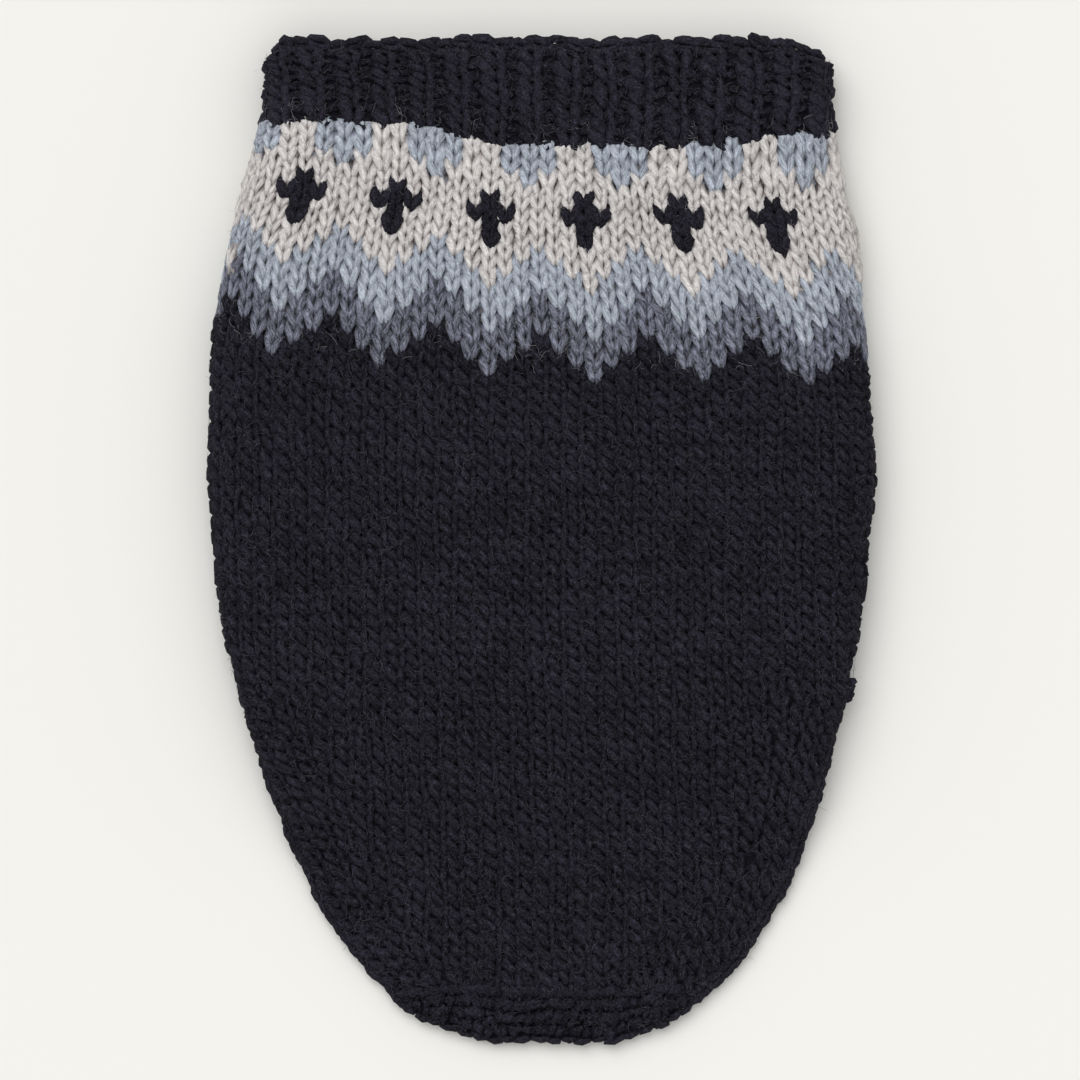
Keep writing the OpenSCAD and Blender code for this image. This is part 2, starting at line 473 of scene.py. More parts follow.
class Stitches:
    """Places of stitches in the fabric, with the small unevenness of knitting by hand."""

    def __init__(self, s, y, width=1.0, depth=0.0, tall=1.0, loose=1.0):
        self.s, self.y = np.asarray(s, float), np.asarray(y, float)
        wobble = bpy.context.scene.jumper_knit.wobble
        self.y = self.y + ROW_DRIFT * wobble * np.sin(2.3 * self.y)
        self.width = np.broadcast_to(width, self.s.shape)
        self.depth = np.broadcast_to(depth, self.s.shape)
        self.tall = tall
        self.wobble = wobble * loose

    def __len__(self):
        return len(self.s)

    def tones(self):
        """How light or dark each stitch is, by itself and by its row."""
        return RANDOM.normal(0, 1, len(self)).clip(-2.5, 2.5) + 0.5 * np.sin(1.7 * self.y)

    def local(self, points, turn=0.0):
        """The copies' points, each turned and sized a little."""
        plain = bpy.context.scene.jumper_knit.stitch_width
        count = len(self)
        size = 1 + UNEVEN_SIZE * self.wobble * uneven(count, 1)
        angle = turn + UNEVEN_TURN * self.wobble * uneven(count, 1)
        x = points[..., 0] * plain * self.width[:, None]
        y = points[..., 1] * self.tall
        across = (x * np.cos(angle) - y * np.sin(angle)) * size / plain
        up = (x * np.sin(angle) + y * np.cos(angle)) * size
        moved = UNEVEN_PLACE * self.wobble * uneven(count, 3)
        rough = ROUGH_YARN * self.wobble * uneven(3, *across.shape)
        across = across + (moved[:, :1] + rough[0]) / plain
        up = up + moved[:, 1:2] + rough[1]
        return across, up, points[..., 2] * size + 0.6 * moved[:, 2:] + rough[2]

    def depths(self, out):
        """How far points this far out of their stitches lie below the outer face."""
        return self.depth[:, None] + leg_depth() - out

    def on_body(self, points, turn=0.0):
        """The copies' points on the jumper's tube. The yoke's first row dives under the ribbing."""
        across, up, out = self.local(points, turn)
        first_rib = COLLAR_Y - RIB_OVER
        below = self.y[:, None] < first_rib - 0.35
        dive = 3.0 * np.clip(self.y[:, None] + up - first_rib + 1.6, 0, 1.6) * below
        return body_point(self.s[:, None] + across, self.y[:, None] + up, self.depths(out) + dive)

    def on_flap(self, points, turn=0.0):
        """The copies' points on the back with its flap."""
        across, up, out = self.local(points, turn)
        return body_point(self.s[:, None] + across, self.y[:, None] + up, self.depths(out), True)


def leg_depth():
    """How far the middle of a stitch lies below the outer face."""
    return bpy.context.scene.jumper_knit.yarn / 2 + LEG_BOW


# ---------------------------------------------------------------------------
# Which stitch goes where
# ---------------------------------------------------------------------------

def row_y(row):
    """The middle of a row, counted down from the collar."""
    knit = bpy.context.scene.jumper_knit
    y = COLLAR_Y - 0.8 - knit.yoke_row * (np.minimum(row, YOKE_ROWS) + 0.5)
    return y - knit.row_height * np.maximum(row - YOKE_ROWS, 0)


def charted():
    """Every stitch of the colourwork: its letter, place round the body, row and width."""
    found = []
    for row, line in enumerate(TOP_CHART + CHART):
        across = len(line)
        for repeat in range(REPEATS):
            for i, letter in enumerate(line):
                s = MOTIF_AT + MOTIF_STITCHES * (repeat + (i - CHART_MIDDLE) / across)
                s = (s + HALF_ROUND) % ROUND_STITCHES - HALF_ROUND
                cross_on_fold = letter == "N" and row < CROSS_END and FOLD_FROM < abs(s) < FOLD_TO
                found.append(("K" if cross_on_fold else letter, s, row, MOTIF_STITCHES / across))
    return found


def yoke_stitches(letter):
    """The stitches of one wool. The stray one, which lies between two rows, stands proud."""
    chosen = [(s, row, width) for kind, s, row, width in charted() if kind == letter]
    if letter == "K":
        chosen.append(STRAY_STITCH)
    s, row, width = np.array(chosen).T
    return Stitches(s, row_y(row), width, depth=np.where(row % 1, -0.7, 0.25))


def is_side(s, y):
    """Whether a place lies on the rounded side fold."""
    far = np.abs(way_round(s, y)) - flat_half(y, False)
    return (far > SIDE_FROM * FOLD_R) & (far < (math.pi - SIDE_FROM) * FOLD_R)


def is_back(s, y):
    """Whether a place lies on the back's side of the fold."""
    return np.abs(way_round(s, y)) - flat_half(y, False) < 0.5 * math.pi * FOLD_R


def plain_places():
    """Every navy stitch below the colourwork, as far as the belly's end: places round and rows."""
    found = [(s, row) for kind, s, row, _ in charted() if kind == "N" and row > CROSS_END]
    last = YOKE_ROWS + int((row_y(YOKE_ROWS) - BELLY_Y) / bpy.context.scene.jumper_knit.row_height)
    for row in range(YOKE_ROWS, last + 1):
        found += [(s, row) for s in range(-HALF_ROUND, HALF_ROUND)]
    s, row = np.array(found, float).T
    return s, row_y(row)


def leg_gap(x, y):
    """How far a place on the belly is outside the nearer leg opening's edge."""
    along = np.maximum(np.abs(y - LEG_Y) - LEG_STRAIGHT, 0)
    return np.hypot(np.abs(x) - LEG_X, along) - LEG_R


ACROSS_FOLD = "across the fold"


def finish_piece(piece, wool, body, *nodes):
    """The piece gets its wool, and rides on its body; a piece that lies across the fold between the two rides
    on neither.
    """
    piece.data.materials.append(bpy.data.materials[wool])
    if body == ACROSS_FOLD:
        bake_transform(piece)
    else:
        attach(piece, body)
    if nodes:
        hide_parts(*nodes)
    return piece


def joined(parts, name):
    """The parts made one piece of this name."""
    fresh()
    for part in parts:
        part.select_set(True)
    bpy.context.view_layer.objects.active = parts[0]
    bpy.ops.object.join()
    parts[0].name = name
    return parts[0]


# ---------------------------------------------------------------------------
# Materials
# ---------------------------------------------------------------------------

class Shade:
    """A socket of a material's nodes, for writing its maths as expressions."""

    def __init__(self, tree, socket):
        self.tree, self.socket = tree, socket

    def node(self, kind, settings=None, output=0, **inputs):
        """Any other node: its type, its settings, and its sockets' values or links, by name or as i0, i1."""
        new = self.tree.nodes.new(kind)
        for name, value in (settings or {}).items():
            setattr(new, name, value)
        for name, value in inputs.items():
            numbered = name[0] == "i" and name[1:].isdigit()
            socket = new.inputs[int(name[1:]) if numbered else name.replace("_", " ")]
            if isinstance(value, Shade):
                self.tree.links.new(value.socket, socket)
            else:
                socket.default_value = value
        return Shade(self.tree, new.outputs[output])

    def maths(self, operation, *values):
        return self.node("ShaderNodeMath", {"operation": operation},
                         **{f"i{i}": value for i, value in enumerate(values)})

    def __add__(self, other):
        return self.maths("ADD", self, other)

    __radd__ = __add__

    def __mul__(self, other):
        return self.maths("MULTIPLY", self, other)

    __rmul__ = __mul__

    def __sub__(self, other):
        return self.maths("SUBTRACT", self, other)

    def __rsub__(self, other):
        return self.maths("SUBTRACT", other, self)

    def sine(self):
        return self.maths("SINE", self)

    def size(self):
        return self.maths("ABSOLUTE", self)

    def between(self, low, high):
        """0 at low and below, 1 at high and above."""
        return self.node("ShaderNodeMapRange", Value=self, From_Min=low, From_Max=high)

    def mixed(self, first, second):
        """The first colour where this is 0, the second where it is 1."""
        return self.node("ShaderNodeMix", {"data_type": "RGBA"}, 2, i0=self, i6=first, i7=second)

    def attribute(self, name):
        """A number stored on the piece's points."""
        return self.node("ShaderNodeAttribute", {"attribute_name": name}, 2)

    def part(self, axis):
        """One of the three numbers of a place."""
        split = self.node("ShaderNodeSeparateXYZ", Vector=self)
        return Shade(self.tree, split.socket.node.outputs["XYZ".index(axis)])

    def noise(self, scale, detail=2.0):
        return self.node("ShaderNodeTexNoise", Vector=self, Scale=scale, Detail=detail)

    def turned(self, angle):
        return self.node("ShaderNodeMapping", Vector=self, Rotation=(0, 0, angle))

    def stretched(self, x, y, z):
        return self.node("ShaderNodeMapping", Vector=self, Scale=(x, y, z))


def rgba(colour, times=1.0):
    """A colour with full alpha, made lighter or darker."""
    return tuple(min(1.0, c * times) for c in tuple(colour)[:3]) + (1.0,)


def material(name, roughness, sheen, gloss=0.25):
    """A new matt material: its shader, and a first socket to start expressions from."""
    mat = bpy.data.materials.new(name)
    mat.use_nodes = True
    tree = mat.node_tree
    shader = tree.nodes["Principled BSDF"]
    shader.inputs["Roughness"].default_value = roughness
    shader.inputs["Specular IOR Level"].default_value = gloss
    shader.inputs["Sheen Weight"].default_value = sheen
    shader.inputs["Sheen Roughness"].default_value = 0.45
    return mat, tree, shader, Shade(tree, None)


PLIES = 4.0
PLY_TURNS = 3.0
FIBRE_TURNS = (25, -50)  # the slants of the loose fibres, in degrees
# The painted shade between the navy stitches, where the yarn lies low.
NAVY_SHADE = (0.92, 0.92, 0.94)
NAVY_HAIR = (0.043, 0.045, 0.068)
PALE_HAIR = (0.27, 0.28, 0.31)

# The colourwork's wools: the painted shade between their stitches, the darkest and lightest share of their
# colour, and how uneven they are.
YOKE_WOOLS = (("cream", (0.45, 0.42, 0.42), 0.65, 1.35, 0.8),
              ("sky", (0.42, 0.42, 0.45), 0.5, 1.5, 0.9),
              ("slate", (0.1, 0.1, 0.13), 0.2, 2.3, 1.05))


def wool(name, shade, dark, light, level, strength, fuzz, sheen, gloss):
    """Plied wool: twisted plies with painted shade in their grooves, fibres along them, stitches a little
    lighter or darker each, and painted shade between them where the yarn lies low.

    level is its mean place between the dark and light colours, strength how uneven it is, and fuzz how
    much of that is loose fluff rather than fibres along the yarn.
    """
    mat, tree, shader, start = material(name, 0.85, sheen, gloss)
    yarn = start.node("ShaderNodeUVMap", {"uv_map": "yarn"})
    along, around = yarn.part("X"), yarn.part("Y")
    place = start.node("ShaderNodeTexCoord", output=3)
    bend = place.noise(420.0, 1.0)
    twist = along * PLY_TURNS + around * PLIES + bend * 1.1
    ply_ridges_and_shade = (twist * math.pi).sine().size()
    streak = start.node("ShaderNodeCombineXYZ", X=twist, Y=along * 3.0).noise(3.4, 2.0).between(0.3, 0.7)
    patch = place.noise(60.0, 1.0).between(0.3, 0.7)
    fluff = place.noise(1700.0, 2.0).between(0.3, 0.7)
    glint = 0.0
    for turn in FIBRE_TURNS:
        fibre = place.turned(math.radians(turn)).stretched(1.0, 0.22, 1.0).noise(2300.0, 1.0)
        glint = fibre.between(0.58, 0.74) + glint
    tone, rise = start.attribute("tone"), start.attribute("rise").between(0.3, 0.9)
    # The grooves between the plies are painted darker: painted shade.
    grain = tone * 0.045 + patch * 0.12 + ply_ridges_and_shade * 0.12 + streak * (1.1 - 0.6 * fuzz) - 0.69
    grain = grain + (fluff * 0.9 + glint * 0.7 - 0.26) * fuzz
    lit = (grain * strength + level).between(0.0, 1.0).mixed(rgba(dark), rgba(light))
    # Painted shade: the colour darkens where the yarn lies low between the stitches.
    painted_shade = rise.mixed(rgba(shade), rgba((1, 1, 1)))
    full = start.node("ShaderNodeMix", {"data_type": "RGBA", "blend_type": "MULTIPLY"}, 2,
                      i0=1.0, i6=lit, i7=painted_shade)
    tree.links.new(full.socket, shader.inputs["Base Color"])
    height = ply_ridges_and_shade * 0.3 + streak * 0.35 + fluff * 0.4
    bump = start.node("ShaderNodeBump", Strength=1.0, Distance=0.4 * MM, Height=height)
    tree.links.new(bump.socket, shader.inputs["Normal"])
    return mat


def hair(name, colour):
    """Loose hairs, some darker than others."""
    mat, tree, shader, start = material(name, 0.6, 0.3)
    place = start.node("ShaderNodeTexCoord", output=3)
    shade = place.noise(60.0, 1.0).between(0.35, 0.65)
    tree.links.new(shade.mixed(rgba(colour, 0.45), rgba(colour)).socket, shader.inputs["Base Color"])
    return mat


def lining(name, navy, pale):
    """The inner faces of the stitches: navy, and pale behind the colourwork, with the rows showing."""
    mat, tree, shader, start = material(name, 0.9, 0.0, 0.1)
    place = start.node("ShaderNodeTexCoord", output=3)
    rows = (place.part("Y") * (2 * math.pi / (bpy.context.scene.jumper_knit.row_height * MM))).sine()
    colour = start.attribute("yoke").mixed(rgba(navy), rgba(pale, 0.55))
    grain = place.noise(900.0, 2.0) * 0.6 + rows * 0.2
    colour = grain.between(0.0, 1.0).mixed(rgba(navy, 0.6), colour)
    tree.links.new(colour.socket, shader.inputs["Base Color"])
    bump = start.node("ShaderNodeBump", Strength=0.6, Distance=0.3 * MM, Height=grain)
    tree.links.new(bump.socket, shader.inputs["Normal"])
    return mat


class JUMPER_OT_wools(bpy.types.Operator):
    """Make the wools and the lining"""
    bl_idname = "jumper.wools"
    bl_label = "Wools"

    def execute(self, context):
        colours = context.scene.jumper_wool
        navy = colours.navy
        # The ribbing's wool is the navy made lighter: painted light on the raised ribbing and hems.
        for name, lighter in (("navy", 1.0), ("navy rib", 1.17)):
            wool(f"{name} wool", NAVY_SHADE, rgba(navy, 0.2), rgba(navy, 5.0), level=0.23 * lighter,
                 strength=0.5, fuzz=1.0, sheen=0.0, gloss=0.12)
        for name, shade, dark, light, strength in YOKE_WOOLS:
            colour = getattr(colours, name)
            wool(f"{name} wool", shade, rgba(colour, dark), rgba(colour, light), level=0.5,
                 strength=strength, fuzz=0.35, sheen=0.1, gloss=0.25)
        hair("navy hairs", NAVY_HAIR)
        hair("pale hairs", PALE_HAIR)
        lining("lining", navy, colours.cream)
        return {"FINISHED"}


# ---------------------------------------------------------------------------
# The pieces
# ---------------------------------------------------------------------------

class JUMPER_OT_yoke(bpy.types.Operator):
    """Knit the colourwork of the yoke, one piece for each wool"""
    bl_idname = "jumper.yoke"
    bl_label = "Colourwork yoke"

    def execute(self, context):
        kinds = loops()
        for letter, name, stuff, nodes in (
                ("K", "yoke_cream_stitches", "cream wool", ["yoke_motif_band"]),
                ("S", "yoke_sky_stitches", "sky wool", ["yoke_sky_band"]),
                ("T", "yoke_slate_stitches", "slate wool", ["yoke_slate_band"])):
            places = yoke_stitches(letter)
            piece = grow(name, kinds["colour"], places.on_body, places.tones())
            finish_piece(piece, stuff, "jumper", *nodes)
        crosses = [(s, row, width) for kind, s, row, width in charted() if kind == "N" and row < CROSS_END]
        s, row, width = np.array(crosses).T
        places = Stitches(s, row_y(row), width * 1.08, depth=-0.25)
        piece = grow("yoke_navy_crosses", kinds["cross"], places.on_body, places.tones())
        finish_piece(piece, "navy wool", "jumper")
        return {"FINISHED"}


class JUMPER_OT_body(bpy.types.Operator):
    """Knit the plain back, belly and side folds"""
    bl_idname = "jumper.body"
    bl_label = "Plain body"

    def execute(self, context):
        loop = loops()["plain"]
        s, y = plain_places()
        side = is_side(s, y)
        low = y < FOLD_Y + FLAP_BEND
        inside_edge = np.abs(way_round(s, y)) < edge_way(y) - EDGE_WIDTH
        back = is_back(s, y) & (~low | inside_edge)
        x = body_point(s, y, 0.0)[..., 0] - sway(y)
        belly = ~is_back(s, y) & ~side & ~low & (leg_gap(x, y) > CUFF_WIDTH - 1)
        places = Stitches(s[back & (~side | low)], y[back & (~side | low)])
        finish_piece(grow("back_stitches", loop, places.on_flap, places.tones()),
                     "navy wool", ACROSS_FOLD, "back_panel")
        places = Stitches(s[belly], y[belly])
        finish_piece(grow("belly_stitches", loop, places.on_body, places.tones()),
                     "navy wool", "jumper", "chest_panel")
        for word, half in (("left", s < 0), ("right", s > 0)):
            here = side & half & ~low
            places = Stitches(s[here], y[here])
            finish_piece(grow(f"side_stitches_{word}", loop, places.on_body, places.tones()),
                         "navy wool", "jumper", f"side_seam_{word}")
        return {"FINISHED"}


class JUMPER_OT_tail(bpy.types.Operator):
    """Knit the free tail flap with its edge stitches and its ridged hem"""
    bl_idname = "jumper.tail"
    bl_label = "Tail flap"

    def execute(self, context):
        knit = context.scene.jumper_knit
        kinds = loops()
        first = plain_places()[1].min() - knit.row_height
        rows = np.arange(first, HEM_Y + 1, -knit.row_height)
        places, turns = [], []
        for y in rows:
            reach = edge_way(y) / knit.stitch_width - 1.05
            last = int(reach)
            s = np.arange(-last, last + 1, dtype=float)
            outer = smooth((np.abs(s) - (last - LEANING)) / LEANING)
            lean = math.atan(float(edge_way(y + 2) - edge_way(y - 2)) / 4)
            places += [(place, y) for place in s + np.sign(s) * outer * (reach - last)]
            turns += list(-np.sign(s) * outer * lean)
        s, y = np.array(places).T
        stitches = Stitches(s, y)
        turn = np.array(turns)[:, None]
        piece = grow("tail_stitches", kinds["plain"], lambda p: stitches.on_flap(p, turn), stitches.tones())
        finish_piece(piece, "navy wool", ACROSS_FOLD, "tail_panel")
        for side, word in ((-1, "left"), (1, "right")):
            y = [FOLD_Y + FLAP_BEND]
            while y[-1] > HEM_Y + 1:
                slope = float(edge_way(y[-1] + 1) - edge_way(y[-1] - 1)) / 2
                y.append(y[-1] - knit.row_height / math.hypot(1, slope))
            y = np.array(y)
            lean = -side * np.arctan((edge_way(y + 1) - edge_way(y - 1)) / 2)
            stitches = Stitches(side * (edge_way(y) - 2.1) / knit.stitch_width, y, depth=0.2)
            piece = grow(f"tail_edge_stitches_{word}", kinds["link"],
                         lambda p: stitches.on_flap(p, lean[:, None]), stitches.tones())
            finish_piece(piece, "navy wool", ACROSS_FOLD, f"tail_edge_{word}")
        self.hem(kinds, knit)
        return {"FINISHED"}

    def hem(self, kinds, knit):
        """Ridges of purl bumps, drawn together towards the two corners, inside a chain along the outline."""
        reach = float(half_width(HEM_Y))
        margin, spacing, shift, least_room = 1.5, knit.stitch_width * 0.92, 1.7, 2.4
        places, turns = [], []
        for ridge, share in enumerate(HEM_RIDGES):
            x = np.arange(-reach + margin, reach - margin, spacing) + ridge * shift
            y = hem_place(x, share)
            slope = hem_place(x + 0.5, share) - hem_place(x - 0.5, share)
            room = (HEM_Y - hem_place(x, 1.0)) * (HEM_RIDGES[1] - HEM_RIDGES[0]) > least_room
            keep = (np.abs(x) < reach - 3) & (room | (ridge == 0))
            places += list(zip(x[keep] / knit.stitch_width, y[keep]))
            turns += list(np.arctan(slope[keep]))
        s, y = np.array(places).T
        stitches = Stitches(s, y, 1.0, depth=-0.4, loose=1.8)
        turn = np.array(turns)[:, None]
        ridges = grow("tail_hem_ridges", kinds["purl"], lambda p: stitches.on_flap(p, turn), stitches.tones())
        x, lean = [-reach + 0.8], []
        while x[-1] < reach - 0.8:
            lean.append(math.atan(float(hem_place(x[-1] + 0.5, 1.0) - hem_place(x[-1] - 0.5, 1.0))))
            x.append(x[-1] + 0.86 * knit.stitch_width * math.cos(lean[-1]))
        x, lean = np.array(x[:-1]), np.array(lean)
        inside = 1.8 - 0.9 * hump(np.abs(x), 33, 9)
        places = Stitches((x - inside * np.sin(lean)) / knit.stitch_width,
                          hem_place(x, 1.0) + inside * np.cos(lean), 1.0, depth=0.1, tall=0.75, loose=1.3)
        along = (lean + math.pi)[:, None]
        rim = grow("tail_hem_rim", kinds["purl"], lambda p: places.on_flap(p, along), places.tones())
        finish_piece(joined([ridges, rim], "tail_hem_stitches"), "navy rib wool", "tail_flap", "tail_hem")


def hem_place(x, share):
    """The height of a ridge between the hem's top line and the tail's rounded outline."""
    inner = np.clip(np.abs(x) / BODY_HALF, 0, 1)
    outline = WIDEST_Y - TAIL_REACH * (1 - inner ** (1 / TAIL_ROUND)) ** (1 / TAIL_POWER)
    return HEM_Y * (1 - share) + share * outline


class JUMPER_OT_collar(bpy.types.Operator):
    """Knit the ribbed collar and its cast-off edge"""
    bl_idname = "jumper.collar"
    bl_label = "Collar"

    def execute(self, context):
        knit = context.scene.jumper_knit
        kinds = loops()
        starts = np.arange(RIBS) * RIB_PERIOD - HALF_ROUND
        rows = np.arange(COLLAR_Y - RIB_OVER, RIM_Y - 4.4, knit.row_height)
        parts = []
        # The knit ribs are painted lighter and the purl columns darker: painted light on the raised ribs,
        # painted shade in the sunken columns.
        for name, kind, at, share, depth, tone in (
                ("collar_rib_knit", "rib", RIB_AT, 0.68, -0.8, 1.0),
                ("collar_rib_purl", "purl", PURL_AT, 0.48, 0.85, -3.0)):
            s, y = (grid.ravel() for grid in np.meshgrid(starts + at * RIB_PERIOD, rows))
            places = Stitches(s, y, share * RIB_PERIOD, depth, loose=1.35)
            parts.append(grow(name, kinds[kind], places.on_body, places.tones() + tone))
        finish_piece(joined(parts, "collar_rib_stitches"), "navy rib wool", "jumper", "collar_rib")
        s = np.arange(2 * RIBS) * RIB_PERIOD / 2 - HALF_ROUND
        high = 0.7 * np.cos(2 * np.pi * (s - starts[0] - RIB_AT * RIB_PERIOD) / RIB_PERIOD)
        places = Stitches(s, RIM_Y - 3.3 + high, 1.15, 1.4, tall=1.15, loose=1.6)
        lying = math.radians(84)
        piece = grow("cast_off_stitches", kinds["link"], lambda p: places.on_body(p, lying), places.tones())
        finish_piece(piece, "navy rib wool", "jumper", "collar_cast_off_edge")
        return {"FINISHED"}


class JUMPER_OT_belly_trim(bpy.types.Operator):
    """Knit the ribbed end of the belly and the cuffs round the leg openings"""
    bl_idname = "jumper.belly_trim"
    bl_label = "Belly hem and leg cuffs"

    def execute(self, context):
        kinds = loops()
        s, y = plain_places()
        low = (y < FOLD_Y + FLAP_BEND) & ~is_back(s, y)
        odd = np.round(s).astype(int) % 2 == 1
        parts = []
        corner = np.abs(way_round(s, y)) - flat_half(y, False) < 0.66 * math.pi * FOLD_R
        tucked = 2.6 * corner
        for kind, chosen, depth in (("rib", low & ~odd, -0.2), ("purl", low & odd, 0.9)):
            places = Stitches(s[chosen], y[chosen], 1.05, depth + tucked[chosen])
            parts.append(grow(f"belly_hem_{kind}", kinds[kind], places.on_body, places.tones()))
        fold = flat_half(BELLY_Y, False) + FOLD_R * math.pi / 2
        fold_stitch = fold / context.scene.jumper_knit.stitch_width
        knot = Stitches([fold_stitch] * 2, [BELLY_Y, BELLY_Y + 1.2], 0.6, -1.2)
        parts.append(grow("belly_hem_knot", kinds["purl"], lambda p: knot.on_body(p, 0.6), knot.tones()))
        finish_piece(joined(parts, "belly_hem_stitches"), "navy rib wool", "jumper", "belly_hem")
        for side, word in ((-1, "left"), (1, "right")):
            parts = [self.cuff(kinds[kind], side, first, f"cuff_{word}_{kind}")
                     for kind, first in (("rib", 0), ("purl", 1))]
            finish_piece(joined(parts, f"leg_cuff_stitches_{word}"), "navy rib wool", "jumper",
                         f"leg_cuff_{word}")
        return {"FINISHED"}

    def cuff(self, loop, side, first, name):
        """Every other column of a cuff, each pointing away from the opening's middle."""
        ways = []
        for i in range(first, CUFF_COLUMNS, 2):
            ways += [(i / CUFF_COLUMNS, row) for row in CUFF_ROWS]
        share, out = np.array(ways).T
        place, angle = obround(share, LEG_R + CUFF_MIDDLE, LEG_STRAIGHT)
        stitches = Stitches(share, out, 0.84, depth=0.2 if first else -0.4)

        def put(points):
            across, up, high = stitches.local(points)
            away = LEG_R + out[:, None] + up
            wide = across * bpy.context.scene.jumper_knit.stitch_width * (away / (LEG_R + CUFF_MIDDLE))
            corner = place[:, None]
            x = LEG_X * side + away * np.cos(angle)[:, None] - wide * np.sin(angle)[:, None]
            y = LEG_Y + corner + away * np.sin(angle)[:, None] + wide * np.cos(angle)[:, None]
            x = x + sway(y)
            return np.stack([x, y + lift(x, y), np.maximum(stitches.depths(high), 0)], axis=-1)

        return grow(name, loop, put, stitches.tones())


def obround(share, radius, straight):
    """Places along an obround, each as the height of its arc's centre and its outward angle."""
    arc = math.pi * radius
    whole = 2 * arc + 4 * straight
    places = []
    for way in (share * whole) % whole:
        if way < arc:
            places.append((straight, way / radius))
        elif way < arc + 2 * straight:
            places.append((straight - (way - arc), math.pi))
        elif way < 2 * arc + 2 * straight:
            places.append((-straight, math.pi + (way - arc - 2 * straight) / radius))
        else:
            places.append((-straight + (way - 2 * arc - 2 * straight), 0.0))
    return np.array(places).T


class JUMPER_OT_floats(bpy.types.Operator):
    """Lay the loose strands that are carried behind the colourwork"""
    bl_idname = "jumper.floats"
    bl_label = "Floats"

    def execute(self, context):
        span, droop, swell, steps = 3.4, 0.5, 0.7, 6
        stretch = 4                                 # millimetres to a stitch while the strand is drawn
        line = []
        for i in range(steps + 1):
            bow = math.sin(math.pi * i / steps)
            line.append((span * (i / steps - 0.5) * stretch, -droop * bow, swell * bow, 1.0))
        loop = strand(line, 1.3)
        loop["points"][:, 0] /= stretch
        places = np.meshgrid(np.arange(0, ROUND_STITCHES, 3.0), np.arange(YOKE_ROWS - 1))
        s, row = (grid.ravel() for grid in places)
        s = (s + 1.5 * (row % 2)) % ROUND_STITCHES - HALF_ROUND
        y = row_y(row)
        tones = RANDOM.normal(0, 1, len(s)).clip(-2, 2)

        def put(points):
            return body_point(s[:, None] + points[..., 0], y[:, None] + points[..., 1],
                              FABRIC - 0.1 + points[..., 2])

        finish_piece(grow("yoke_float_strands", loop, put, tones), "cream wool", "jumper", "yoke_floats")
        return {"FINISHED"}


def cloth(name, across, along, place):
    """A fine grid of cloth, shaped by place, which takes shares of its width and length."""
    fresh()
    bpy.ops.mesh.primitive_grid_add(x_subdivisions=across, y_subdivisions=along, size=1)
    obj = bpy.context.object
    obj.name = name
    flat = np.array([v.co for v in obj.data.vertices])
    points, yoke = place(flat[:, 0] + 0.5, flat[:, 1] + 0.5)
    obj.data.vertices.foreach_set("co", (points * MM).ravel())
    obj.data.attributes.new("yoke", "FLOAT", "POINT").data.foreach_set("value", yoke)
    obj.data.update()
    bpy.ops.object.shade_smooth()
    return obj


def behind_yoke(y):
    """1 where the inner face is the colourwork's, 0 where it is navy."""
    return smooth((COLLAR_Y - 5 - y) / 2) * smooth((y - row_y(YOKE_ROWS - 3)) / 6)


class JUMPER_OT_lining(bpy.types.Operator):
    """Lay the inner faces of the stitches, which close the gaps between them"""
    bl_idname = "jumper.lining"
    bl_label = "Inner faces"

    def execute(self, context):
        width = BODY_HALF * 2

        def back(u, v):
            y = TAIL_Y + 1 + v * (LINING_TOP - TAIL_Y - 1)
            reach = np.minimum(edge_way(y) - 1.1, flat_half(y, True) + FOLD_R * math.pi / 2)
            s = stitches_to((2 * u - 1) * reach, y)
            return body_point(s, y, LINING_DEPTH, True), behind_yoke(y)

        across = int(width / LINING_STEP)
        piece = cloth("back_inner_faces", across, int((RIM_Y - TAIL_Y) / LINING_STEP), back)
        finish_piece(piece, "lining", ACROSS_FOLD)

        def belly(u, v):
            y = BELLY_Y + 1 + v * (LINING_TOP - BELLY_Y - 1)
            start = flat_half(y, False) + FOLD_R * math.pi / 2
            a = start + u * 2 * (round_half(y) - start)
            a = np.where(a > round_half(y), a - 2 * round_half(y), a)
            return ring_point(a, y, LINING_DEPTH), behind_yoke(y)

        piece = cloth("belly_inner_faces", across, int((RIM_Y - BELLY_Y) / LINING_STEP), belly)
        fresh()
        piece.select_set(True)
        context.view_layer.objects.active = piece
        bpy.ops.object.mode_set(mode="EDIT")
        bpy.ops.mesh.select_all(action="DESELECT")
        bpy.ops.object.mode_set(mode="OBJECT")
        for face in piece.data.polygons:
            x, y, z = face.center / MM
            face.select = bool(z < MID_Z and leg_gap(x - sway(y), y - lift(x, y)) < 1.5)
        bpy.ops.object.mode_set(mode="EDIT")
        bpy.ops.mesh.delete(type="FACE")
        bpy.ops.object.mode_set(mode="OBJECT")
        finish_piece(piece, "lining", "jumper")
        return {"FINISHED"}


def ring_point(a, y, depth):
    """A point of the tube at a distance round it, in millimetres."""
    far, flat = np.abs(a), flat_half(y, False)
    angle = np.clip((far - flat) / FOLD_R, 0, math.pi)
    under = far - flat - math.pi * FOLD_R
    x = np.where(under > 0, flat - under, np.minimum(far, flat) + (FOLD_R - depth) * np.sin(angle))
    x = np.sign(a) * x + sway(y)
    return np.stack([x, y + lift(x, y), FOLD_R + (FOLD_R - depth) * np.cos(angle)], axis=-1)


